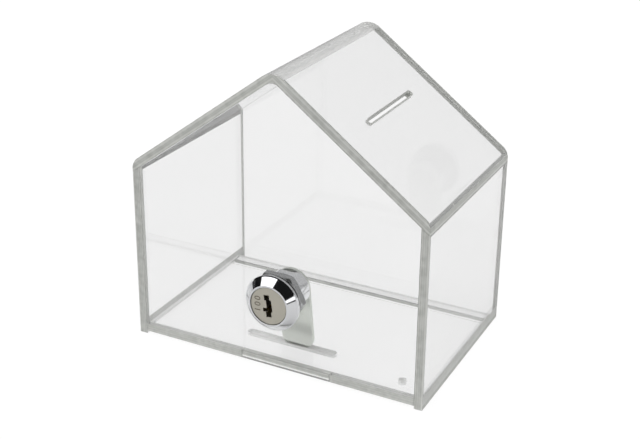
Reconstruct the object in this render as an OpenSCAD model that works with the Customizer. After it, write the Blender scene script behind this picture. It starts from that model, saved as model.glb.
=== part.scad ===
// Lockable house-shaped ballot box in clear sheet, with a cam lock that pins its base plate.
// The box stands on the two side walls: +X is to the right, +Y to the back and +Z up.
// The origin lies on the ground, at the centre of the whole outline.

/* [House] */
// Width over the two side walls
box_w = 120; // [100:1:160]
// Depth from the front face to the back face
box_d = 78; // [66:1:120]
// Height of the eaves, to the sharp outer corner
eave_h = 72; // [60:1:100]
// Height of the ridge, to the sharp outer corner
ridge_h = 117; // [105:1:150]
// Thickness of the sheet that makes the house
sheet_t = 3.2; // [2.5:0.1:4]
// Outer radius of the hot bend at the ridge
bend_r = 7; // [5:0.5:12]
// Radius of the outer corner of the roof at each eave
eave_r = 5; // [1:0.5:6]
// Height of the front and back panels above the ground
panel_lift = 1.2; // [0.5:0.1:3]

/* [Ballot slot] */
// Length of the slot in the right roof slope
ballot_slot_l = 38; // [25:1:55]
// Width of that slot
ballot_slot_w = 3; // [2:0.5:6]
// Distance from the ridge corner down the slope to the middle of the slot
ballot_slot_run = 34; // [28:1:45]

/* [Base plate] */
// Thickness of the base plate
base_t = 3.2; // [2.8:0.1:4]
// Thickness left above the rebates, at the front tab and along the rear edge
tab_t = 2.5; // [2:0.1:2.7]
// Height of the strip that closes the front mortise from below
ledge_h = 0.6; // [0.5:0.1:2]
// Width of the front tab
front_tab_w = 36.5; // [20:0.5:45]
// How far the front tab sits to the right of the middle
front_tab_x = 4.8; // [-8:0.2:8]
// Thickness of the strip that carries the rear edge of the plate
rear_ledge_t = 1.5; // [1:0.1:1.7]
// How far the plate overlaps that strip
rear_ledge_bearing = 3; // [2:0.1:8]
// Space behind the plate, which lets it slide back off its front tab
release_gap = 3.6; // [3.4:0.1:6]
// Length of the slot that takes the cam
cam_slot_l = 38; // [30:0.5:50]
// Width of the slot that takes the cam
cam_slot_w = 3; // [2.6:0.1:4]
// Diameter of the small hole at the right front corner
tie_hole_d = 3; // [2:0.5:5]
// Distance of that hole from the right edge of the plate
tie_hole_side = 8.2; // [6:0.2:14]
// Distance of that hole from the front edge of the plate
tie_hole_front = 7.2; // [5:0.2:14]

/* [Lock housing] */
// Diameter of the bezel
bezel_d = 22; // [20.5:0.5:26]
// How far the bezel stands out of the front panel
bezel_h = 3.8; // [3.2:0.1:6]
// Height of the straight rim at the foot of the bezel
bezel_rim_h = 0.9; // [0.4:0.1:1.5]
// Diameter of the front edge of the bezel
bezel_front_d = 16.4; // [16:0.1:18]
// Diameter of the threaded barrel
barrel_d = 16; // [15.6:0.1:18]
// Distance across the two flats of the barrel
barrel_flats = 13.8; // [13.4:0.1:15]
// Length of the barrel behind the bezel
barrel_l = 14.2; // [13.6:0.1:22]
// Wall of the lock nut, from the barrel to a flat
nut_wall = 1.5; // [1.2:0.1:3]
// Thickness of the lock nut
nut_t = 3.2; // [2:0.1:5]
// Width of the ring of the washer under the nut
nut_washer_w = 2; // [1:0.1:4]
// Thickness of the washer under the nut
nut_washer_t = 0.6; // [0.4:0.1:1.2]

/* [Lock plug] */
// Diameter of the round face that the key enters
plug_face_d = 14.8; // [14:0.1:15]
// Thickness of the head behind that face
plug_head_t = 2.2; // [1.4:0.1:2.6]
// How far the face is sunk into the bezel
plug_recess = 0.2; // [0:0.05:0.6]
// Diameter of the plug body
plug_d = 11; // [10.4:0.1:11.2]
// Width of the keyway
key_w = 2.2; // [1.6:0.1:2.4]
// Height of the keyway
key_h = 8.8; // [7:0.1:9.2]
// Side step between the ends and the middle of the keyway
key_jog = 0.6; // [0.2:0.1:0.7]
// Thickness of a wafer
wafer_t = 1; // [0.6:0.1:1.2]
// Width of a wafer
wafer_w = 4.4; // [4.2:0.1:4.8]
// Distance from one wafer to the next
wafer_pitch = 1.8; // [1.5:0.05:1.9]
// Height of the window that the key passes through
wafer_window_h = 6; // [5:0.1:6.6]
// Diameter of the wire of a wafer spring
spring_wire_d = 0.22; // [0.16:0.02:0.3]
// Working turns of a wafer spring
spring_turns = 5; // [3:1:7]
// Outer diameter of the clip that keeps the plug in
clip_d = 12.6; // [12:0.1:12.8]
// Thickness of that clip
clip_t = 0.8; // [0.5:0.1:1]

/* [Cam] */
// How far the cam is turned from straight down as it stands
cam_rest = 8; // [0:1:20]
// Distance from the lock axis to the tip of the cam
cam_l = 25; // [20:0.5:34]
// How far the tip reaches into the slot of the base plate
cam_dip = 1.2; // [0.8:0.1:2.2]
// Diameter of the round head of the cam
cam_head_d = 15; // [13:0.5:17]
// Width of the cam at its tip
cam_tip_w = 13; // [10:0.5:15]
// Corner radius of the tip
cam_tip_r = 4; // [1:0.5:5]
// Thickness of the cam
cam_t = 1.5; // [1:0.1:2]
// Thickness of the stop washer between barrel and cam
stop_t = 0.75; // [0.6:0.05:1.2]
// Angle that the stop lets the cam turn through
cam_travel = 90; // [60:5:120]
// Diameter of the tail that carries the cam
tail_d = 8; // [7:0.1:8.4]
// Distance across the two flats of the tail
tail_flats = 6.2; // [5.6:0.1:6.8]
// Diameter of the cam screw
screw_d = 4; // [3:0.1:4.2]
// Length of the cam screw under its head
screw_l = 5; // [4:0.5:6]
// Diameter of the screw head
screw_head_d = 8; // [7:0.1:9]
// Height of the screw head
screw_head_h = 2.4; // [1.8:0.1:3]
// Outer diameter of the spring washer
spring_washer_d = 9; // [8.6:0.1:10]
// Thickness of the spring washer
spring_washer_t = 0.8; // [0.5:0.1:1.2]

/* [Fits] */
// Gap between the base plate and each side wall
side_gap = 0.3; // [0.2:0.05:1]
// Gap between the base plate and the front panel
front_gap = 0.2; // [0.1:0.05:0.5]
// Gap above and below a tab in its mortise
tab_gap = 0.1; // [0.05:0.05:0.3]
// Gap at each end of a tab in its mortise
tab_side_gap = 0.3; // [0.2:0.05:0.6]
// Gap between the barrel and its hole in the front panel
panel_hole_gap = 0.15; // [0.05:0.05:0.3]
// Running clearance between plug and housing, on the radius
run_fit = 0.05; // [0.03:0.01:0.08]
// Clearance between parts that are clamped or threaded together
close_fit = 0.05; // [0.02:0.01:0.08]

/* [Hidden] */

$fn = 72;
cut = 0.5;

// The house: slope of the roof, and where the front and back faces lie
roof_a = atan2(ridge_h - eave_h, box_w / 2);
front_y = -(box_d - bezel_h) / 2;
back_y = (box_d + bezel_h) / 2;
inner_w = box_w - 2 * sheet_t;
inner_ridge_h = ridge_h - sheet_t / cos(roof_a);
inner_bend_r = max(bend_r - sheet_t, 0.5);

// The base plate, its mortise and what carries it
ledge_top = panel_lift + ledge_h;
tab_z = ledge_top + tab_gap;
base_top = tab_z + tab_t;
base_z = base_top - base_t;
base_w = inner_w - 2 * side_gap;
base_front_y = front_y + sheet_t + front_gap;
base_back_y = back_y - sheet_t - release_gap;
ledge_front_y = base_back_y - rear_ledge_bearing;
rebate_y = ledge_front_y - release_gap - front_gap;

// Stations along the lock axis, counted back from the outer face of the front panel
lock_z = base_top + cam_l - cam_dip;
face_s = plug_recess - bezel_h;
shoulder_s = face_s + plug_head_t;
washer_s = sheet_t;
nut_s = washer_s + nut_washer_t;
stop_s = barrel_l + close_fit;
cam_s = stop_s + stop_t;
cam_back_s = cam_s + cam_t;
tail_sink = 0.2;
tail_end_s = cam_back_s - tail_sink;
screw_s = cam_back_s + spring_washer_t;
bore_r = plug_d / 2 + run_fit;

// The wafers stand in slots of the plug, each with a spring beside it
wafer_count = 5;
wafer_first_s = 0.6;
wafer_play = 0.05;
wafer_slot_t = wafer_t + 2 * wafer_play;
wafer_r = plug_d / 2 - 2 * wafer_play;
wafer_lift = [0.5, -0.3, 0.2, -0.6, 0.1];
ear_w = 1.2;
ear_y = 0.8;
ear_h = 1.2;
ear_travel = 0.9;
pocket_play = 0.1;
spring_top_y = -3.4;
spring_end_gap = 0.02;
spring_r = 0.42;
groove_w = wafer_w + 0.8;
groove_r = barrel_flats / 2 - 0.5;

// The clip sits in a groove of the plug and runs in a groove of the housing
clip_s = 10.3;
clip_play = 0.1;
clip_in_r = plug_d / 2 - 0.9;
clip_groove_r = clip_d / 2 + 0.15;

// The stop: a lug on the washer swings in a gap of a raised ring on the barrel
stop_r = plug_d / 2 + 0.1;
lug_r = barrel_flats / 2 - 0.15;
lug_a = 15;
lug_play_a = 1;
stop_ring_h = stop_t - 0.05;

// The height of the underside of the roof, x away from the middle
function under_roof_h(x) = inner_ridge_h - x * tan(roof_a);

// A gable drawn in the plane of the front: its ridge is round, and its eaves where corner_r isn't 0
module gable(w, ridge, ridge_r, corner_r, foot) {
    lean = [sin(roof_a), cos(roof_a)];
    ridge_c = [0, ridge - ridge_r / cos(roof_a)];
    corner = [w / 2, ridge - w / 2 * tan(roof_a)];
    corner_c = corner + corner_r * [-1, tan(roof_a) - 1 / cos(roof_a)];
    eave = corner_r > 0 ? [[w / 2, corner_c.y], corner_c + corner_r * lean] : [corner];
    half = concat([[w / 2, foot]], eave, [ridge_c + ridge_r * lean]);
    polygon(concat(half, [for (i = [len(half) - 1 : -1 : 0]) [-half[i].x, half[i].y]]));
    translate(ridge_c) circle(r = ridge_r);
    if (corner_r > 0) {
        for (side = [-1, 1]) {
            translate([side * corner_c.x, corner_c.y]) circle(r = corner_r);
        }
    }
}

// Stands a front-view drawing up and gives it a depth from y to y + depth
module upright(y, depth) {
    translate([0, y + depth, 0]) rotate([90, 0, 0]) linear_extrude(height = depth) children();
}

// A slot with round ends, seen from above, along X
module round_slot(l, w) {
    square([l - w, w], center = true);
    for (x = [-1, 1] * (l - w) / 2) {
        translate([x, 0]) circle(d = w);
    }
}

// A disc with two flats, one on each side, `flats` apart along Y
module double_flat(d, flats) {
    intersection() {
        circle(d = d);
        square([d + 1, flats], center = true);
    }
}

// Puts children on the lock axis: their Z runs back from the panel, their Y runs down
module on_lock_axis() {
    translate([0, front_y, lock_z]) rotate([-90, 0, 0]) children();
}

// The same, turned to where the plug and the cam stand
module on_plug() {
    on_lock_axis() rotate([0, 0, -cam_rest]) children();
}

module slice(s, t) {
    translate([0, 0, s]) linear_extrude(height = t) children();
}

module ring(s, t, outer_d, inner_d) {
    slice(s, t) difference() {
        circle(d = outer_d);
        circle(d = inner_d);
    }
}

// The roof: one sheet bent at the ridge, its ends cut upright over the side walls
module bent_sheet() {
    mid_x = ballot_slot_run * cos(roof_a);
    mid_z = ridge_h - ballot_slot_run * sin(roof_a);
    mid_y = (front_y + back_y) / 2;
    color([0.90, 0.92, 0.91, 0.45]) difference() {
        upright(front_y, box_d) difference() {
            gable(box_w, ridge_h, bend_r, eave_r, 0);
            gable(box_w + 2 * cut, inner_ridge_h, inner_bend_r, 0, -cut);
        }
        translate([mid_x, mid_y, mid_z]) rotate([0, roof_a, 0]) rotate([0, 0, 90])
            translate([0, 0, -sheet_t - cut]) linear_extrude(height = sheet_t + 2 * cut)
                round_slot(ballot_slot_l, ballot_slot_w);
    }
}

// A side wall, on the left with side = -1 and on the right with side = 1; its top is bevelled to the roof
module wall(side) {
    x = [inner_w / 2, box_w / 2];
    outline = [[x[0], 0], [x[1], 0], [x[1], under_roof_h(x[1])], [x[0], under_roof_h(x[0])]];
    color([0.89, 0.91, 0.90, 0.45]) upright(front_y, box_d)
        polygon(side > 0 ? outline : [for (i = [3 : -1 : 0]) [-outline[i].x, outline[i].y]]);
}

// The outline that both end panels share: it fills the space between the walls and the roof
module panel_outline() {
    gable(inner_w, inner_ridge_h, inner_bend_r, 0, panel_lift);
}

// The closed mortise for the tab of the base plate
module mortise() {
    translate([front_tab_x - front_tab_w / 2 - tab_side_gap, ledge_top])
        square([front_tab_w + 2 * tab_side_gap, tab_t + 2 * tab_gap]);
}

module front_panel() {
    color([0.88, 0.90, 0.89, 0.45]) upright(front_y, sheet_t) difference() {
        panel_outline();
        mortise();
        translate([0, lock_z])
            double_flat(barrel_d + 2 * panel_hole_gap, barrel_flats + 2 * panel_hole_gap);
    }
}

module back_panel() {
    color([0.86, 0.88, 0.87, 0.45]) upright(back_y - sheet_t, sheet_t) panel_outline();
}

// The strip welded along the foot of the back panel, between the side walls, that carries the plate
module rear_ledge() {
    color([0.84, 0.87, 0.85, 0.5])
        translate([-inner_w / 2, ledge_front_y, ledge_top - rear_ledge_t])
            cube([inner_w, release_gap + rear_ledge_bearing, rear_ledge_t]);
}

// The outline of the base plate from above, with its front tab, the slot for the cam and the small hole
module base_outline() {
    slot_y = front_y + cam_s + cam_t / 2;
    difference() {
        union() {
            translate([-base_w / 2, base_front_y]) square([base_w, base_back_y - base_front_y]);
            translate([front_tab_x - front_tab_w / 2, front_y])
                square([front_tab_w, base_front_y - front_y + cut]);
        }
        translate([0, slot_y]) round_slot(cam_slot_l, cam_slot_w);
        translate([base_w / 2 - tie_hole_side, base_front_y + tie_hole_front]) circle(d = tie_hole_d);
    }
}

// The loose plate that closes the box from below, thinned from below at its front tab and its rear edge
module base_plate() {
    deep = tab_z - base_z + cut;
    color([0.93, 0.94, 0.93, 0.5]) difference() {
        translate([0, 0, base_z]) linear_extrude(height = base_t) base_outline();
        translate([-base_w / 2, front_y - cut, base_z - cut])
            cube([base_w, base_front_y - front_y + cut, deep]);
        translate([-base_w / 2 - cut, rebate_y, base_z - cut])
            cube([base_w + 2 * cut, base_back_y - rebate_y + cut, deep]);
    }
}

// Bezel, barrel and bore of the lock body
module lock_housing() {
    mouth_r = plug_face_d / 2 + run_fit + close_fit;
    floor_s = shoulder_s + close_fit;
    rim_step_w = 0.4;
    rim_step_h = 0.2;
    color([0.80, 0.81, 0.83]) on_lock_axis() difference() {
        union() {
            rotate_extrude() polygon([
                [0, 0],
                [bezel_d / 2, 0],
                [bezel_d / 2, -bezel_rim_h],
                [bezel_d / 2 - rim_step_w, -bezel_rim_h - rim_step_h],
                [bezel_front_d / 2, -bezel_h],
                [0, -bezel_h]
            ]);
            slice(0, barrel_l) double_flat(barrel_d, barrel_flats);
            slice(barrel_l, stop_ring_h) intersection() {
                double_flat(barrel_d, barrel_flats);
                difference() {
                    circle(d = barrel_d);
                    circle(r = stop_r + close_fit);
                    stop_gap();
                }
            }
        }
        translate([0, 0, -bezel_h - cut]) cylinder(r = mouth_r, h = bezel_h + cut + floor_s);
        translate([0, 0, floor_s - cut]) cylinder(r = bore_r, h = barrel_l - floor_s + 2 * cut);
        slice(floor_s, wafer_first_s + wafer_count * wafer_pitch - floor_s) intersection() {
            circle(r = groove_r);
            square([groove_w, barrel_d], center = true);
        }
        slice(clip_s - clip_play, clip_t + 2 * clip_play) circle(r = clip_groove_r);
    }
}

// The sector that the lug of the stop washer swings in
module stop_gap() {
    from_a = -90 + lug_a + lug_play_a;
    to_a = -90 - cam_travel - lug_a - lug_play_a;
    steps = 8;
    polygon(concat(
        [[0, 0]],
        [for (i = [0 : steps]) let (a = from_a + (to_a - from_a) * i / steps)
            barrel_d * [cos(a), sin(a)]]
    ));
}

module lock_washer() {
    color([0.72, 0.73, 0.74]) on_lock_axis()
        ring(washer_s, nut_washer_t, barrel_d + 2 * nut_washer_w, barrel_d + 2 * panel_hole_gap);
}

// A hexagon nut with its corners turned off at both faces
module lock_nut() {
    corner_r = (barrel_d / 2 + nut_wall) / cos(30);
    chamfer = 0.5;
    color([0.76, 0.77, 0.79]) on_lock_axis() difference() {
        intersection() {
            slice(nut_s, nut_t) circle(r = corner_r, $fn = 6);
            rotate_extrude() polygon([
                [0, nut_s],
                [corner_r - 2 * chamfer, nut_s],
                [corner_r, nut_s + chamfer],
                [corner_r, nut_s + nut_t - chamfer],
                [corner_r - 2 * chamfer, nut_s + nut_t],
                [0, nut_s + nut_t]
            ]);
        }
        translate([0, 0, nut_s - cut]) cylinder(d = barrel_d + 2 * close_fit, h = nut_t + 2 * cut);
    }
}

// The keyway: a stepped slot with one ward low on its left; Y runs down here
module keyway() {
    end_h = key_h * 0.24;
    overlap = 0.1;
    ward_w = 1;
    ward_h = 1.5;
    ward_y = key_h * 0.17;
    left = -(key_jog + key_w) / 2;
    for (y = [-key_h / 2, key_h / 2 - end_h]) {
        translate([left, y]) square([key_w, end_h]);
    }
    translate([left + key_jog, end_h - key_h / 2 - overlap])
        square([key_w, key_h - 2 * end_h + 2 * overlap]);
    translate([left - ward_w, ward_y - ward_h / 2]) square([ward_w + key_w, ward_h]);
}

function wafer_s(i) = wafer_first_s + (i - 1) * wafer_pitch;

// The pocket beside a wafer, which holds its spring and the travel of its ear
module spring_pocket() {
    translate([wafer_w / 2 - pocket_play, spring_top_y])
        square([ear_w + 2 * pocket_play, ear_y + ear_h + ear_travel - spring_top_y]);
}

// The turning core of the lock, with its keyway, its wafer slots and the tail for the cam
module lock_plug() {
    edge = 0.2;
    tap_run_out = 0.5;
    color([0.76, 0.73, 0.66]) on_plug() difference() {
        union() {
            rotate_extrude() polygon([
                [0, face_s],
                [plug_face_d / 2 - edge, face_s],
                [plug_face_d / 2, face_s + edge],
                [plug_face_d / 2, shoulder_s],
                [plug_d / 2, shoulder_s],
                [plug_d / 2, barrel_l],
                [0, barrel_l]
            ]);
            slice(barrel_l - cut, tail_end_s - barrel_l + cut) double_flat(tail_d, tail_flats);
        }
        slice(face_s - cut, wafer_s(wafer_count) + wafer_slot_t - face_s + cut) keyway();
        for (i = [1 : wafer_count]) {
            slice(wafer_s(i) - wafer_play, wafer_slot_t) {
                square([wafer_w + 2 * wafer_play, plug_d + 1], center = true);
                spring_pocket();
            }
        }
        ring(clip_s - close_fit, clip_t + 2 * close_fit, plug_d + 1, 2 * (clip_in_r - close_fit));
        translate([0, 0, screw_s - screw_l - tap_run_out])
            cylinder(d = screw_d + 2 * close_fit, h = screw_l + tap_run_out + cut);
    }
}

// One wafer, drawn in by the key so that it stands inside the plug
module wafer(i) {
    ear_root = 0.2;
    window_w = 1.3 * key_w;
    color([0.80, 0.68, 0.38]) on_plug() slice(wafer_s(i), wafer_t) difference() {
        union() {
            intersection() {
                circle(r = wafer_r);
                square([wafer_w, plug_d], center = true);
            }
            translate([wafer_w / 2 - ear_root, ear_y]) square([ear_w + ear_root, ear_h]);
        }
        translate([0, wafer_lift[i - 1]]) square([window_w, wafer_window_h], center = true);
    }
}

// One point of the wire of a spring: u runs from 0 to 1 along the wire, a goes round it
function spring_point(u, a, turns, length, r, wire_r) =
    let (turn = 360 * turns * u,
         closed = 0.12,
         rise = u < closed ? u / closed * 2 * wire_r
              : u > 1 - closed ? length - 2 * wire_r - (1 - u) / closed * 2 * wire_r
              : 2 * wire_r + (u - closed) / (1 - 2 * closed) * (length - 6 * wire_r),
         out = r + wire_r * cos(a))
    [out * cos(turn), rise + wire_r + wire_r * sin(a), out * sin(turn)];

// A coil spring along +Y whose wire is a tube with six sides
module coil_spring(turns, length, r, wire_r) {
    sides = 6;
    steps = 9 * turns;
    points = [for (i = [0 : steps], j = [0 : sides - 1])
        spring_point(i / steps, 360 * j / sides, turns, length, r, wire_r)];
    tube = [for (i = [0 : steps - 1], j = [0 : sides - 1]) let (k = (j + 1) % sides)
        [i * sides + j, i * sides + k, (i + 1) * sides + k, (i + 1) * sides + j]];
    start_cap = [[for (j = [0 : sides - 1]) sides - 1 - j]];
    end_cap = [[for (j = [0 : sides - 1]) steps * sides + j]];
    polyhedron(points = points, faces = concat(tube, start_cap, end_cap), convexity = 6);
}

// The spring that pushes one wafer out by its ear
module wafer_spring(i) {
    color([0.70, 0.71, 0.73]) on_plug()
        translate([(wafer_w + ear_w) / 2, spring_top_y + spring_end_gap, wafer_s(i) + wafer_t / 2])
            coil_spring(spring_turns + 1, ear_y - spring_top_y - 2 * spring_end_gap,
                        spring_r - spring_wire_d / 2, spring_wire_d / 2);
}

// An open clip in its groove near the back of the plug
module plug_retainer() {
    opening = 5;
    color([0.66, 0.67, 0.69]) on_plug() slice(clip_s, clip_t) difference() {
        circle(d = clip_d);
        circle(r = clip_in_r);
        translate([-opening / 2, 0]) square([opening, clip_d]);
    }
}

// The washer whose lug stops the cam at both ends of its turn
module stop_washer() {
    color([0.74, 0.75, 0.77]) on_plug() slice(stop_s, stop_t) difference() {
        union() {
            circle(r = stop_r);
            intersection() {
                circle(r = lug_r);
                polygon([
                    [0, 0],
                    barrel_d * [sin(lug_a), -cos(lug_a)],
                    barrel_d * [-sin(lug_a), -cos(lug_a)]
                ]);
            }
        }
        double_flat(tail_d + 2 * close_fit, tail_flats + 2 * close_fit);
    }
}

// The flat blade, with a round head, tapered sides and round corners at the tip
module cam() {
    head_r = cam_head_d / 2;
    corner = [cam_tip_w / 2 - cam_tip_r, cam_l - cam_tip_r];
    side_a = atan2(corner.y, corner.x) - acos((head_r - cam_tip_r) / norm(corner));
    side = [cos(side_a), sin(side_a)];
    flip = [-1, 1];
    mirrored = function (p) [flip.x * p.x, flip.y * p.y];
    color([0.82, 0.84, 0.80]) on_plug() slice(cam_s, cam_t) difference() {
        union() {
            circle(r = head_r);
            polygon([
                head_r * side,
                corner + cam_tip_r * side,
                [corner.x, cam_l],
                [-corner.x, cam_l],
                mirrored(corner + cam_tip_r * side),
                mirrored(head_r * side)
            ]);
            for (x = [-1, 1] * corner.x) {
                translate([x, corner.y]) circle(r = cam_tip_r);
            }
        }
        double_flat(tail_d + 2 * close_fit, tail_flats + 2 * close_fit);
    }
}

// A split ring that keeps the screw tight
module cam_spring_washer() {
    split = 0.6;
    bore_d = screw_d + 0.4;
    color([0.60, 0.61, 0.63]) on_plug() slice(cam_back_s, spring_washer_t) difference() {
        circle(d = spring_washer_d);
        circle(d = bore_d);
        translate([0, -split / 2]) square([spring_washer_d, split]);
    }
}

// A pan-head screw with a cross recess
module cam_screw() {
    head_r = screw_head_d / 2;
    recess_l = screw_head_d * 0.55;
    recess_w = 0.9;
    recess_depth = screw_head_h * 0.6;
    color([0.70, 0.71, 0.73]) on_plug() difference() {
        union() {
            translate([0, 0, screw_s - screw_l]) cylinder(d = screw_d, h = screw_l + cut);
            rotate_extrude() polygon([
                [0, screw_s],
                [head_r, screw_s],
                [head_r, screw_s + screw_head_h * 0.45],
                [head_r * 0.86, screw_s + screw_head_h * 0.8],
                [head_r * 0.6, screw_s + screw_head_h],
                [0, screw_s + screw_head_h]
            ]);
        }
        slice(screw_s + screw_head_h - recess_depth, recess_depth + cut) {
            square([recess_l, recess_w], center = true);
            square([recess_w, recess_l], center = true);
        }
    }
}

bent_sheet();
wall(-1);  // left_wall
wall(1);  // right_wall
front_panel();
back_panel();
rear_ledge();
base_plate();
lock_housing();
lock_washer();
lock_nut();
lock_plug();
wafer(1);  // wafer_1
wafer(2);  // wafer_2
wafer(3);  // wafer_3
wafer(4);  // wafer_4
wafer(5);  // wafer_5
wafer_spring(1);  // wafer_spring_1
wafer_spring(2);  // wafer_spring_2
wafer_spring(3);  // wafer_spring_3
wafer_spring(4);  // wafer_spring_4
wafer_spring(5);  // wafer_spring_5
plug_retainer();
stop_washer();
cam();
cam_spring_washer();
cam_screw();
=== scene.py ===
# Looks of a clear, house-shaped ballot box with a cam lock. The CAD model gives the frame.
# Metres, +X to the right, +Y to the back, +Z up. Lengths below are written in millimetres where they end in _mm.
import math

import bmesh
import bpy
from mathutils import Matrix, Vector


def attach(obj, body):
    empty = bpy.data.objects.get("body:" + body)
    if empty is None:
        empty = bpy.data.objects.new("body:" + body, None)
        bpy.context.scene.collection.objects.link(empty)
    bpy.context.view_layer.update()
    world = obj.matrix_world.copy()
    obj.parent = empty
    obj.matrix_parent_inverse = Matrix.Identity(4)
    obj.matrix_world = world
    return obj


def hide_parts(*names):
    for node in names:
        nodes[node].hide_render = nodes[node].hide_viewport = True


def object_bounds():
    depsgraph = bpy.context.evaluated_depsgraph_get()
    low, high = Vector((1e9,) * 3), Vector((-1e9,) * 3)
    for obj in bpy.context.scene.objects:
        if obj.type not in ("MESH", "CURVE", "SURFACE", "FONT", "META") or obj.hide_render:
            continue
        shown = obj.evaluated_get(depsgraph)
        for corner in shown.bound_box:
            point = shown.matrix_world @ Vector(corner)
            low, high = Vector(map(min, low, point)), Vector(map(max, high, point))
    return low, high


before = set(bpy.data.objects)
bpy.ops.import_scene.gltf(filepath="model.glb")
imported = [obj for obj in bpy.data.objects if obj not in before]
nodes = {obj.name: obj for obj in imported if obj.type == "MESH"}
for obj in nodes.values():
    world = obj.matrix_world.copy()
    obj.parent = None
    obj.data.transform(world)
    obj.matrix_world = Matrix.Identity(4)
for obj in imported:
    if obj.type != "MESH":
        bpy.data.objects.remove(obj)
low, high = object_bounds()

scene = bpy.context.scene
MM = 0.001

# Roof
# One strip of clear cast acrylic, 3.2 mm thick, line-bent at the ridge. It lies over the side walls and ends flush
# with them. The faces are polished as cast, the sawn ends are only scraped, so they show grey and streaky.
sheet_mm = 3.2
width_mm, depth_mm, eave_mm, ridge_mm, bend_mm, eave_round_mm = 120.0, 78.0, 72.0, 117.0, 7.0, 5.0
front_mm = low.y / MM + 3.8
back_mm = front_mm + depth_mm
slope = math.atan2(ridge_mm - eave_mm, width_mm / 2)
soften_mm = 0.18


def linear(hex_colour):
    """A colour as it is seen on a screen, turned into the linear values that the shaders take."""
    parts = [int(hex_colour[i:i + 2], 16) / 255 for i in (1, 3, 5)]
    return [c / 12.92 if c <= 0.04045 else ((c + 0.055) / 1.055) ** 2.4 for c in parts] + [1.0]


def add_node(tree, kind, links=(), **settings):
    """Adds one shader node. Settings that name an input fill it, the others set the node itself.
    Each link is (socket that gives, name or number of the input that takes)."""
    new = tree.nodes.new(kind)
    for name, value in settings.items():
        if hasattr(new, name):
            setattr(new, name, value)
        else:
            new.inputs[name.replace("_", " ")].default_value = value
    for source, target in links:
        tree.links.new(source, new.inputs[target])
    return new


def new_material(name):
    """An empty node material and its tree."""
    made = bpy.data.materials.new(name)
    made.use_nodes = True
    made.node_tree.nodes.clear()
    return made, made.node_tree


def finish_material(tree, shader):
    out = tree.nodes.new("ShaderNodeOutputMaterial")
    tree.links.new(shader.outputs[0], out.inputs["Surface"])


# Cast acrylic: clear and hard, with a polished skin that carries a little dust. Sawn edges scatter light, so they
# look pale grey, with saw marks every half millimetre or so that follow the sheet. Light on its way to a matt surface
# goes straight through the polished faces, or what lies behind a sheet would come out half as bright as it should.
def acrylic(name, body_colour, edge_colour, mark_colour, edge_clear, edge_rough, across):
    made, tree = new_material(name)
    place = add_node(tree, "ShaderNodeTexCoord").outputs["Object"]
    cut = add_node(tree, "ShaderNodeAttribute", attribute_name="cut_face").outputs["Fac"]
    blotch = add_node(tree, "ShaderNodeTexNoise", [(place, "Vector")], Scale=450.0, Detail=3.0).outputs["Fac"]
    mirrored = add_node(tree, "ShaderNodeVectorMath", [(place, 0)], operation="ABSOLUTE").outputs[0]
    deep = add_node(tree, "ShaderNodeVectorMath", [(mirrored, 0)], operation="DOT_PRODUCT")
    deep.inputs[1].default_value = across
    streak = add_node(tree, "ShaderNodeTexNoise", [(deep.outputs["Value"], "W")], noise_dimensions="1D",
                      Scale=1500.0, Detail=3.0).outputs["Fac"]
    marks = add_node(tree, "ShaderNodeMix", [(blotch, 2), (streak, 3)], Factor=0.7).outputs[0]
    rough = add_node(tree, "ShaderNodeMapRange", [(blotch, "Value")], To_Min=edge_rough - 0.12,
                     To_Max=edge_rough + 0.12).outputs[0]
    rough = add_node(tree, "ShaderNodeMath", [(rough, 0), (cut, 1)], operation="MULTIPLY").outputs[0]
    clear = add_node(tree, "ShaderNodeMapRange", [(cut, "Value")], To_Min=1.0, To_Max=edge_clear).outputs[0]
    shade = add_node(tree, "ShaderNodeMapRange", [(marks, "Value")], From_Min=0.35, From_Max=0.6).outputs[0]
    edge = add_node(tree, "ShaderNodeMix", [(shade, "Factor")], data_type="RGBA")
    edge.inputs[6].default_value = linear(mark_colour)
    edge.inputs[7].default_value = linear(edge_colour)
    colour = add_node(tree, "ShaderNodeMix", [(cut, "Factor"), (edge.outputs[2], 7)], data_type="RGBA")
    colour.inputs[6].default_value = linear(body_colour)
    height = add_node(tree, "ShaderNodeMath", [(streak, 0), (cut, 1)], operation="MULTIPLY").outputs[0]
    bump = add_node(tree, "ShaderNodeBump", [(height, "Height")], Strength=0.25, Distance=0.00004).outputs[0]
    path = add_node(tree, "ShaderNodeLightPath")
    light = add_node(tree, "ShaderNodeMath", [(path.outputs["Is Diffuse Ray"], 0), (path.outputs["Is Shadow Ray"], 1)],
                     operation="MAXIMUM").outputs[0]
    passed = add_node(tree, "ShaderNodeMapRange", [(cut, "Value")], To_Min=0.95, To_Max=0.1).outputs[0]
    passed = add_node(tree, "ShaderNodeMath", [(passed, 0), (light, 1)], operation="MULTIPLY").outputs[0]
    solid = add_node(tree, "ShaderNodeMapRange", [(passed, "Value")], To_Min=1.0, To_Max=0.0).outputs[0]
    shader = add_node(tree, "ShaderNodeBsdfPrincipled",
                      [(colour.outputs[2], "Base Color"), (rough, "Roughness"), (clear, "Transmission Weight"),
                       (bump, "Normal"), (solid, "Alpha")], IOR=1.49, Sheen_Weight=0.12, Sheen_Roughness=0.35)
    finish_material(tree, shader)
    return made


clear_roof = acrylic("cast_acrylic_roof", "#f6f6f6", "#c6c7c3", "#979994", 0.2, 0.45,
                     (math.sin(slope), 0, math.cos(slope)))


def add_piece(name, bm, made, body, replaced=()):
    """Turns a finished bmesh into a piece that rides on its body."""
    bmesh.ops.recalc_face_normals(bm, faces=bm.faces)
    mesh = bpy.data.meshes.new(name)
    bm.to_mesh(mesh)
    bm.free()
    piece = bpy.data.objects.new(name, mesh)
    scene.collection.objects.link(piece)
    mesh.materials.append(made)
    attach(piece, body)
    if replaced:
        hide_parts(*replaced)
    return piece


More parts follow.
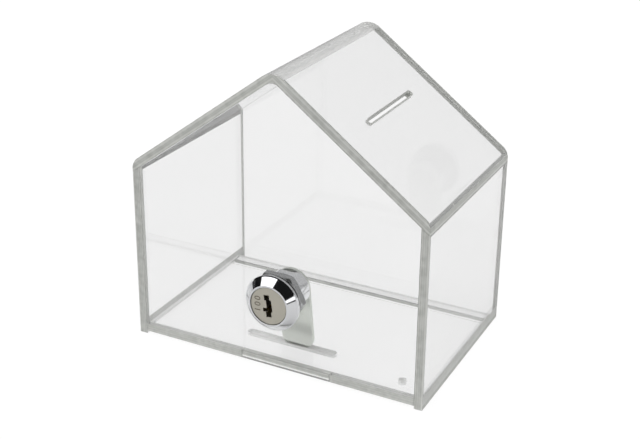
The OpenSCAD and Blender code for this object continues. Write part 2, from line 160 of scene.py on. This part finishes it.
def cut_away(bm, cutters):
    """The bmesh without what the cutters take, each a closed bmesh of its own."""
    objects = []
    for tool in [bm] + cutters:
        bmesh.ops.recalc_face_normals(tool, faces=tool.faces)
        mesh = bpy.data.meshes.new("blank")
        tool.to_mesh(mesh)
        tool.free()
        made = bpy.data.objects.new("blank", mesh)
        scene.collection.objects.link(made)
        objects.append(made)
    blank = objects[0]
    for tool in objects[1:]:
        modifier = blank.modifiers.new("cut", "BOOLEAN")
        modifier.operation, modifier.solver, modifier.object = "DIFFERENCE", "EXACT", tool
    bpy.context.view_layer.update()
    result = bmesh.new()
    result.from_object(blank, bpy.context.evaluated_depsgraph_get())
    for made in objects:
        mesh = made.data
        bpy.data.objects.remove(made)
        bpy.data.meshes.remove(mesh)
    bmesh.ops.remove_doubles(result, verts=result.verts, dist=1e-7)
    return result


def round_slot(length, across, deep):
    """A bar with round ends along X, centred, to cut a slot with."""
    bm = bmesh.new()
    bmesh.ops.create_grid(bm, x_segments=1, y_segments=1, size=0.5)
    bmesh.ops.scale(bm, vec=(length, across, 1), verts=bm.verts)
    bmesh.ops.bevel(bm, geom=bm.verts[:], offset=across / 2 * 0.999, affect="VERTICES", segments=12, profile=0.5,
                    material=-1)
    grown = bmesh.ops.extrude_face_region(bm, geom=bm.faces[:])
    bmesh.ops.translate(bm, vec=(0, 0, deep), verts=[v for v in grown["geom"] if isinstance(v, bmesh.types.BMVert)])
    bmesh.ops.translate(bm, vec=(0, 0, -deep / 2), verts=bm.verts)
    return bm


def soften(bm, size, least=30):
    """Takes the sharpness off each edge, as handling and flame polishing do."""
    sharp = [e for e in bm.edges if len(e.link_faces) == 2 and e.calc_face_angle(0) > math.radians(least)]
    bmesh.ops.bevel(bm, geom=sharp, offset=size, affect="EDGES", segments=2, profile=0.5, material=-1,
                    clamp_overlap=True)


def split(bm, place_mm, facing):
    """Cuts the faces along a plane, so that a part of a face can be marked."""
    bmesh.ops.bisect_plane(bm, geom=bm.verts[:] + bm.edges[:] + bm.faces[:], dist=1e-6,
                           plane_co=Vector(place_mm) * MM, plane_no=facing)


def mark_cut_faces(bm, how_cut):
    """Stores how far each face is sawn rough, from 0 to 1, for the material to read."""
    bm.normal_update()
    layer = bm.faces.layers.float.new("cut_face")
    for face in bm.faces:
        face[layer] = how_cut(face)


def smooth_bends(bm, limit=20):
    for face in bm.faces:
        face.smooth = True
    for edge in bm.edges:
        if len(edge.link_faces) == 2 and edge.calc_face_angle(0) > math.radians(limit):
            edge.smooth = False


def upright(outline, rounded, front, deep):
    """A front-view outline in millimetres, given its depth. For each corner in rounded, its arc begins that far
    from the corner."""
    bm = bmesh.new()
    face = bm.faces.new([bm.verts.new((x * MM, front * MM, z * MM)) for x, z in outline])
    corners = list(face.verts)
    for number, reach in rounded.items():
        bmesh.ops.bevel(bm, geom=[corners[number]], offset=reach * MM, affect="VERTICES", segments=10, profile=0.5,
                        material=-1)
    grown = bmesh.ops.extrude_face_region(bm, geom=bm.faces[:])["geom"]
    bmesh.ops.translate(bm, vec=(0, deep * MM, 0), verts=[v for v in grown if isinstance(v, bmesh.types.BMVert)])
    return bm


def under_roof(x):
    """Height of the underside of the roof, x away from the middle."""
    return ridge_mm - sheet_mm / math.cos(slope) - x * math.tan(slope)


half = width_mm / 2
inner = half - sheet_mm
eave_reach = eave_round_mm * math.tan((math.pi / 2 - slope) / 2)
outline = [(half, under_roof(half)), (half, eave_mm), (0, ridge_mm), (-half, eave_mm), (-half, under_roof(half)),
           (-inner, under_roof(inner)), (0, under_roof(0)), (inner, under_roof(inner))]
bm = upright(outline, {1: eave_reach, 2: bend_mm * math.tan(slope), 3: eave_reach,
                       6: (bend_mm - sheet_mm) * math.tan(slope)}, front_mm, depth_mm)
slot_run_mm = 34.0
tool = round_slot(36.4 * MM, 1.5 * MM, 10 * MM)
bmesh.ops.rotate(tool, verts=tool.verts, matrix=Matrix.Rotation(math.pi / 2, 3, "Z"))
bmesh.ops.rotate(tool, verts=tool.verts, matrix=Matrix.Rotation(slope, 3, "Y"))
bmesh.ops.translate(tool, verts=tool.verts, vec=Vector((
    slot_run_mm * math.cos(slope), (front_mm + back_mm) / 2, ridge_mm - slot_run_mm * math.sin(slope))) * MM)
bm = cut_away(bm, [tool])
right_slope = Vector((math.sin(slope), 0, math.cos(slope)))
rims = [e for e in bm.edges if len(e.link_faces) == 2 and e.calc_face_angle(0) > 1 and
        all(20 < v.co.x / MM < 35 and abs(v.co.y) < 25 * MM for v in e.verts)]
bmesh.ops.bevel(bm, geom=rims, offset=0.55 * MM, affect="EDGES", segments=1, profile=0.5, material=-1)
soften(bm, soften_mm * MM, 50)


def roof_mark(face):
    """Sawn ends and the welded strips over the walls are frosted, the eased slot too, and the bend is
    hazy."""
    x, y, z = face.calc_center_median() / MM
    if face.normal.z < -0.5 and abs(x) > inner and abs(face.normal.y) < 0.3:
        return 0.55
    if abs(face.normal.y) > 0.3:
        return 1.0
    if 20 < x < 35 and abs(face.normal.dot(right_slope)) < 0.95:
        return 1.0
    if abs(face.normal.x) > 0.965:
        return 1.0
    return 0.4 if abs(x) < bend_mm * math.sin(slope) else 0.0


mark_cut_faces(bm, roof_mark)
smooth_bends(bm)
add_piece("bent_acrylic_roof", bm, clear_roof, "box", ["bent_sheet"])

# Side walls
# Two plates of the same sheet, sawn at a slant along the top and welded with solvent under the roof. The welded
# faces stay frosted and show through the clear edges as grey bands.
weld_mm = 0.04
clear_wall = acrylic("cast_acrylic_wall", "#f6f6f6", "#c6c7c3", "#979994", 0.2, 0.45, (1, 0, 0))


def wall_mark(face):
    """The ends are sawn, the welded top is frosted, and the foot is matt on the outer face."""
    x, y, z = face.calc_center_median() / MM
    if abs(face.normal.x) > 0.95:
        if abs(x) < half - 0.5 or z > pale_top_mm:
            return 0.0
        return 0.8 if z > foot_mm else 1.0
    return 0.5 if face.normal.z > 0.5 else 1.0


pale_top_mm, foot_mm = 5.4, 1.8
for side, name in ((-1, "left"), (1, "right")):
    top = [under_roof(x) - weld_mm / math.cos(slope) for x in (inner, half)]
    bm = upright([(side * inner, 0), (side * half, 0), (side * half, top[1]), (side * inner, top[0])], {}, front_mm,
                 depth_mm)
    for z in (foot_mm, pale_top_mm):
        split(bm, (0, 0, z), (0, 0, 1))
    soften(bm, soften_mm * MM)
    mark_cut_faces(bm, wall_mark)
    add_piece(f"acrylic_{name}_wall", bm, clear_wall, "box", [f"{name}_wall"])

# End panels
# The flat front and back of the same sheet, cut to the space between the walls and the roof and welded in. Their
# faces are flush with the ends of the roof, and their bottom edges end 1.2 mm above the ground.
lift_mm = 1.2
lock_mm = 28.2
clear_panel = acrylic("cast_acrylic_panel", "#f6f6f6", "#c6c7c3", "#979994", 0.15, 0.42, (0, 1, 0.7))


def panel(face_mm):
    wide = inner - weld_mm
    peak, side = [under_roof(x) - weld_mm / math.cos(slope) for x in (0, wide)]
    return upright([(-wide, lift_mm), (wide, lift_mm), (wide, side), (0, peak), (-wide, side)],
                   {3: (bend_mm - sheet_mm) * math.tan(slope)}, face_mm, sheet_mm)


def block(x0, x1, y0, y1, z0, z1):
    """A plain block to cut a hole with, given by its sides in millimetres."""
    bm = bmesh.new()
    bmesh.ops.create_cube(bm, size=1)
    bmesh.ops.scale(bm, vec=Vector((x1 - x0, y1 - y0, z1 - z0)) * MM, verts=bm.verts)
    bmesh.ops.translate(bm, vec=Vector(((x0 + x1) / 2, (y0 + y1) / 2, (z0 + z1) / 2)) * MM, verts=bm.verts)
    return bm


mortise_low_mm, mortise_high_mm = 1.8, 4.5
front_tab_mm = (4.8 - 18.25, 4.8 + 18.25)
end_gap_mm = 0.3
hole = bmesh.new()
bmesh.ops.create_cone(hole, cap_ends=True, segments=64, radius1=8.15 * MM, radius2=8.15 * MM, depth=12 * MM)
bmesh.ops.rotate(hole, verts=hole.verts, matrix=Matrix.Rotation(math.pi / 2, 3, "X"))
for side in (-1, 1):
    bmesh.ops.bisect_plane(hole, geom=hole.verts[:] + hole.edges[:] + hole.faces[:], plane_co=(0, 0, side * 7.05 * MM),
                           plane_no=(0, 0, side), clear_outer=True)
    bmesh.ops.holes_fill(hole, edges=[e for e in hole.edges if e.is_boundary])
bmesh.ops.translate(hole, verts=hole.verts, vec=(0, front_mm * MM, lock_mm * MM))
mortise = block(front_tab_mm[0] - end_gap_mm, front_tab_mm[1] + end_gap_mm, front_mm - 2, front_mm + 6,
                mortise_low_mm, mortise_high_mm)
bm = cut_away(panel(front_mm), [hole, mortise])
matt_top_mm = 4.4
mortise_ends_mm = (front_tab_mm[0] - end_gap_mm, front_tab_mm[1] + end_gap_mm)
for z in (matt_top_mm, pale_top_mm):
    split(bm, (0, 0, z), (0, 0, 1))
for x in mortise_ends_mm:
    split(bm, (x, 0, 0), (1, 0, 0))
soften(bm, soften_mm * MM)


def front_mark(face):
    """The foot is matt in front, as high as the base plate beside the mortise, with a paler strip above."""
    x, y, z = face.calc_center_median() / MM
    if abs(face.normal.y) < 0.3:
        return 1.0
    if y > front_mm + 1 or z > pale_top_mm:
        return 0.0
    if z > matt_top_mm:
        return 0.15
    return 0.4 if mortise_ends_mm[0] < x < mortise_ends_mm[1] else 1.0


mark_cut_faces(bm, front_mark)
smooth_bends(bm)
add_piece("front_acrylic_panel", bm, clear_panel, "box", ["front_panel"])

bm = panel(back_mm - sheet_mm)
soften(bm, soften_mm * MM)
mark_cut_faces(bm, lambda f: float(abs(f.normal.y) < 0.3))
smooth_bends(bm)
add_piece("back_acrylic_panel", bm, clear_panel, "box", ["back_panel"])

# Rear ledge
# A strip of 1.5 mm acrylic welded along the foot of the back panel. The rear edge of the base plate lies on it.
ledge_back_mm = back_mm - sheet_mm - weld_mm
ledge_side_mm = inner - weld_mm
bm = block(-ledge_side_mm, ledge_side_mm, ledge_back_mm - 6.6, ledge_back_mm, mortise_low_mm - 1.5, mortise_low_mm)
soften(bm, 0.12 * MM)
mark_cut_faces(bm, lambda f: float(abs(f.normal.z) < 0.3))
add_piece("acrylic_rear_ledge", bm, clear_panel, "box", ["rear_ledge"])

# Base plate
# The loose bottom, 3.2 mm acrylic cut by laser: one tab in front, a slot for the cam and a small hole. The tab and
# the rear edge are milled thinner from below, for the mortise and the ledge.
base_low_mm, base_high_mm, tab_low_mm = 1.2, 4.4, 1.9
base_front_mm = front_mm + sheet_mm + 0.2
base_back_mm = back_mm - sheet_mm - 3.6
base_side_mm = width_mm / 2 - sheet_mm - 0.3
# Painted light: the base's body and sawn edges are given much paler colours than the same sheet on the other pieces.
# This brightens the plate, its cut edges, the cam slot and the small hole where they are seen through the front panel
# and the walls.
clear_base = acrylic("cast_acrylic_base", "#fefefe", "#ffffff", "#e8e9e6", 0.1, 0.35, (0, 0, 1))
outline = [(-base_side_mm, base_front_mm), (front_tab_mm[0], base_front_mm), (front_tab_mm[0], front_mm),
           (front_tab_mm[1], front_mm), (front_tab_mm[1], base_front_mm), (base_side_mm, base_front_mm),
           (base_side_mm, base_back_mm), (-base_side_mm, base_back_mm)]
bm = bmesh.new()
bm.faces.new([bm.verts.new((x * MM, y * MM, base_low_mm * MM)) for x, y in outline])
grown = bmesh.ops.extrude_face_region(bm, geom=bm.faces[:])["geom"]
bmesh.ops.translate(bm, vec=(0, 0, (base_high_mm - base_low_mm) * MM),
                    verts=[v for v in grown if isinstance(v, bmesh.types.BMVert)])
cam_slot = round_slot(38 * MM, 3 * MM, 10 * MM)
bmesh.ops.translate(cam_slot, verts=cam_slot.verts, vec=(0, (front_mm + 15.75) * MM, base_low_mm * MM))
tie_hole = bmesh.new()
bmesh.ops.create_cone(tie_hole, cap_ends=True, segments=40, radius1=1.5 * MM, radius2=1.5 * MM, depth=10 * MM)
bmesh.ops.translate(tie_hole, verts=tie_hole.verts, vec=Vector((base_side_mm - 8.2, base_front_mm + 7.2, 3)) * MM)
tab_rebate = block(front_tab_mm[0] - 1, front_tab_mm[1] + 1, front_mm - 1, base_front_mm, 0, tab_low_mm)
rear_rebate = block(-half, half, base_back_mm - 6.8, base_back_mm + 1, 0, tab_low_mm)
bm = cut_away(bm, [cam_slot, tie_hole, tab_rebate, rear_rebate])
# Painted highlight: below this height the tab's front face keeps the base's near-white edge colour, standing for light
# on the up-facing floor of the mortise. Above it, the face takes the front panel's greyer sawn-edge colours.
tab_painted_highlight_mm = 2.6
split(bm, (0, 0, tab_painted_highlight_mm), (0, 0, 1))
soften(bm, 0.12 * MM)


def base_mark(face):
    """The faces are polished, and all edges are cut matt."""
    x, y, z = face.calc_center_median() / MM
    if abs(face.normal.z) > 0.3:
        return 0.0
    return 1.0


mark_cut_faces(bm, base_mark)
smooth_bends(bm)
# The tab's front face above the painted highlight strip gets the panel's grey edge material. The strip below it stays
# near white.
for face in bm.faces:
    x, y, z = face.calc_center_median() / MM
    if face.normal.y < -0.9 and y < front_mm + 1 and z > tab_painted_highlight_mm:
        face.material_index = 1
plate = add_piece("acrylic_base_plate", bm, clear_base, "base", ["base_plate"])
plate.data.materials.append(clear_panel)


# Lock body
# Die-cast zinc, chromed bright: bezel, threaded barrel and its nut and washer.
def plated(name, colour, rough, spread, grain_mm, height=0.0):
    """A plated or bare metal: one colour, with a fine unevenness in gloss and height."""
    made, tree = new_material(name)
    place = add_node(tree, "ShaderNodeTexCoord").outputs["Object"]
    grain = add_node(tree, "ShaderNodeTexNoise", [(place, "Vector")], Scale=1000 / grain_mm, Detail=3.0).outputs["Fac"]
    gloss = add_node(tree, "ShaderNodeMapRange", [(grain, "Value")], To_Min=rough - spread,
                     To_Max=rough + spread).outputs[0]
    bump = add_node(tree, "ShaderNodeBump", [(grain, "Height")], Strength=height, Distance=0.00002).outputs[0]
    shader = add_node(tree, "ShaderNodeBsdfPrincipled", [(gloss, "Roughness"), (bump, "Normal")], Metallic=1.0)
    shader.inputs["Base Color"].default_value = linear(colour)
    finish_material(tree, shader)
    return made


def dress(made, *names):
    for name in names:
        mesh = nodes[name].data
        mesh.materials.clear()
        mesh.materials.append(made)


dress(plated("bright_chrome", "#e9eaec", 0.07, 0.03, 1.2), "lock_housing")
dress(plated("zinc_plate", "#b4b5b6", 0.2, 0.06, 0.8, 0.1), "lock_washer", "lock_nut")

# Plug
# The turning core: satin nickel over brass, with the keyway cut through it. A plain number is stamped beside the
# keyway, and it is read from below upwards.
dress(plated("satin_nickel", "#c6c2b6", 0.36, 0.08, 0.5, 0.2), "lock_plug")
plug_face = min(vertex.co.y for vertex in nodes["lock_plug"].data.vertices)
lettering = bpy.data.curves.new("number", "FONT")
lettering.body, lettering.size, lettering.extrude = "100", 3.5 * MM, 0.03 * MM
lettering.space_character = 1.35
lettering.align_x, lettering.align_y = "CENTER", "CENTER"
blank = bpy.data.objects.new("number", lettering)
scene.collection.objects.link(blank)
bpy.context.view_layer.update()
mesh = bpy.data.meshes.new_from_object(blank)
bpy.data.objects.remove(blank)
bm = bmesh.new()
bm.from_mesh(mesh)
bpy.data.meshes.remove(mesh)
bmesh.ops.remove_doubles(bm, verts=bm.verts, dist=1e-7)
upwards = Matrix(((0, -1, 0), (0, 0, -1), (1, 0, 0)))
bmesh.ops.transform(bm, matrix=Matrix.Translation((-4.4 * MM, plug_face, lock_mm * MM)) @ upwards.to_4x4(),
                    verts=bm.verts)
add_piece("stamped_number", bm, plated("stamped_nickel", "#7d7567", 0.6, 0.08, 0.4), "lock_rotor")

# Inside the lock
# Stamped brass wafers, springs of fine steel wire and the clip that keeps the plug in.
dress(plated("stamped_brass", "#cdb063", 0.35, 0.06, 0.6), *[f"wafer_{i}" for i in range(1, 6)])
dress(plated("spring_wire", "#b4b6b9", 0.3, 0.06, 0.6), *[f"wafer_spring_{i}" for i in range(1, 6)])
dress(plated("spring_steel", "#a9abae", 0.35, 0.05, 0.8), "plug_retainer", "cam_spring_washer")

# Cam
# Stamped from steel strip and zinc plated, with its stop washer and screw.
dress(plated("zinc_plated_cam", "#dfe3dc", 0.3, 0.06, 0.8, 0.15), "cam", "stop_washer", "cam_screw")

# Floor and studio
# White paper, a bright wall behind, a large soft light above and to the left, and a dim room in front.
bm = bmesh.new()
bmesh.ops.create_grid(bm, x_segments=1, y_segments=1, size=3.0)
mesh = bpy.data.meshes.new("floor")
bm.to_mesh(mesh)
bm.free()
floor = bpy.data.objects.new("floor", mesh)
scene.collection.objects.link(floor)
paper, tree = new_material("white_paper")
place = add_node(tree, "ShaderNodeTexCoord").outputs["Object"]
fibre = add_node(tree, "ShaderNodeTexNoise", [(place, "Vector")], Scale=400.0, Detail=2.0).outputs["Fac"]
bump = add_node(tree, "ShaderNodeBump", [(fibre, "Height")], Strength=0.02, Distance=0.0002).outputs[0]
matt = add_node(tree, "ShaderNodeBsdfDiffuse", [(bump, "Normal")], Color=linear("#f4f4f4"))
white = add_node(tree, "ShaderNodeEmission", Color=linear("#ffffff"), Strength=1.03)
path = add_node(tree, "ShaderNodeLightPath")
seen = add_node(tree, "ShaderNodeMath",
                [(path.outputs["Is Camera Ray"], 0), (path.outputs["Is Transmission Ray"], 1)],
                operation="MAXIMUM").outputs[0]
share = add_node(tree, "ShaderNodeMath", [(seen, 0)], operation="MULTIPLY")
share.inputs[1].default_value = 0.9
both = add_node(tree, "ShaderNodeMixShader", [(share.outputs[0], 0), (matt.outputs[0], 1), (white.outputs[0], 2)])
finish_material(tree, both)
mesh.materials.append(paper)

world = bpy.data.worlds.new("studio")
scene.world = world
world.use_nodes = True
tree = world.node_tree
tree.nodes.clear()
heading = add_node(tree, "ShaderNodeTexCoord").outputs["Generated"]
split = add_node(tree, "ShaderNodeSeparateXYZ", [(heading, "Vector")])
path = add_node(tree, "ShaderNodeLightPath")
wall = add_node(tree, "ShaderNodeMapRange", [(split.outputs["Y"], "Value")], interpolation_type="SMOOTHSTEP",
                From_Min=-0.3, From_Max=0.3, To_Min=0.85, To_Max=1.0).outputs[0]
mirrored = add_node(tree, "ShaderNodeMapRange", [(split.outputs["Y"], "Value")], interpolation_type="SMOOTHSTEP",
                    From_Min=0.2, From_Max=0.8, To_Min=0.008, To_Max=0.6).outputs[0]
behind = add_node(tree, "ShaderNodeMapRange", [(path.outputs["Is Transmission Ray"], "Value")], To_Min=0.5,
                  To_Max=1.0).outputs[0]
behind = add_node(tree, "ShaderNodeMath", [(path.outputs["Glossy Depth"], 0), (behind, 1)],
                  operation="MULTIPLY").outputs[0]
reflected = add_node(tree, "ShaderNodeMath", [(path.outputs["Is Glossy Ray"], 0), (behind, 1)],
                     operation="MAXIMUM").outputs[0]
room = add_node(tree, "ShaderNodeMix", [(reflected, "Factor"), (wall, 2), (mirrored, 3)])


def soft_box(direction, inner, outer, strength):
    """Light from one direction: full within the inner angle and none past the outer one, in degrees."""
    aim = add_node(tree, "ShaderNodeVectorMath", [(heading, 0)], operation="DOT_PRODUCT")
    aim.inputs[1].default_value = Vector(direction).normalized()
    return add_node(tree, "ShaderNodeMapRange", [(aim.outputs["Value"], "Value")], interpolation_type="SMOOTHSTEP",
                    From_Min=math.cos(math.radians(outer)), From_Max=math.cos(math.radians(inner)), To_Min=0.0,
                    To_Max=strength).outputs[0]


total = room.outputs[0]
for lamp in (soft_box((-0.52, -0.28, 0.81), 24, 27, 1.8), soft_box((0.875, -0.457, 0.167), 4, 7, 1.5)):
    total = add_node(tree, "ShaderNodeMath", [(total, 0), (lamp, 1)], operation="ADD").outputs[0]
lit = add_node(tree, "ShaderNodeMix", [(path.outputs["Is Camera Ray"], "Factor"), (total, 2)])
lit.inputs[3].default_value = 1.0
background = add_node(tree, "ShaderNodeBackground", [(lit.outputs[0], "Strength")], Color=linear("#ffffff"))
out = tree.nodes.new("ShaderNodeOutputWorld")
tree.links.new(background.outputs[0], out.inputs["Surface"])

# Camera
# Found from the box's corners in the photograph: 27 degrees to the right and 22 degrees above, with a small shift,
# because the photograph shows the uprights nearly parallel.
camera_data = bpy.data.cameras.new("camera")
camera = bpy.data.objects.new("camera", camera_data)
scene.collection.objects.link(camera)
scene.camera = camera
camera_data.sensor_width = 36.0
camera_data.lens = 68.51
camera_data.shift_y = -0.08
camera_data.clip_start = 0.01
turn, rise, roll = math.radians(26.92), math.radians(22.00), math.radians(0.66)
back = Vector((math.sin(turn) * math.cos(rise), -math.cos(turn) * math.cos(rise), math.sin(rise)))
right = Vector((math.cos(turn), math.sin(turn), 0))
up = back.cross(right)
axes = Matrix((right, up, back)).transposed() @ Matrix.Rotation(roll, 3, "Z")
camera.matrix_world = Matrix.Translation(Vector((193.13, -380.95, 240.35)) * MM) @ axes.to_4x4()

scene.view_settings.view_transform = "Standard"
